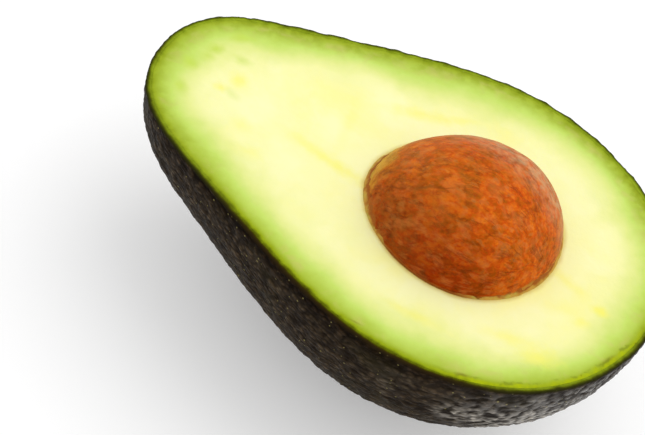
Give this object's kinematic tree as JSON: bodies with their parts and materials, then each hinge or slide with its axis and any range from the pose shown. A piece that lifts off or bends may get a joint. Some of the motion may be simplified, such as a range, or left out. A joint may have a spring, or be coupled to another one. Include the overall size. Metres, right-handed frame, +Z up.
{
  "type": "avocado half",
  "caption": "Ripe avocado half, cut lengthwise, with a pebbled near-black skin, green-edged pale yellow flesh and a glossy brown pit in its seat.",
  "frame": {"origin": "middle of the small flat spot under the half that it lies on", "axes": "+X towards the broad blossom end, -X towards the narrow stem end, +Z up out of the level cut face"},
  "size_m": [0.1042, 0.0731, 0.0533],
  "materials": {
    "skin": "pebbled avocado peel, near black with a brown and green cast, waxy satin",
    "flesh": "moist avocado flesh, pale yellow, turning green towards the skin, soft satin",
    "pit": "seed coat, mottled red-brown and orange, smooth and moist with a soft gloss"
  },
  "bodies": {
    "root": {"skin": "skin", "flesh": "flesh", "pit": "pit"}
  },
  "joints": []
}
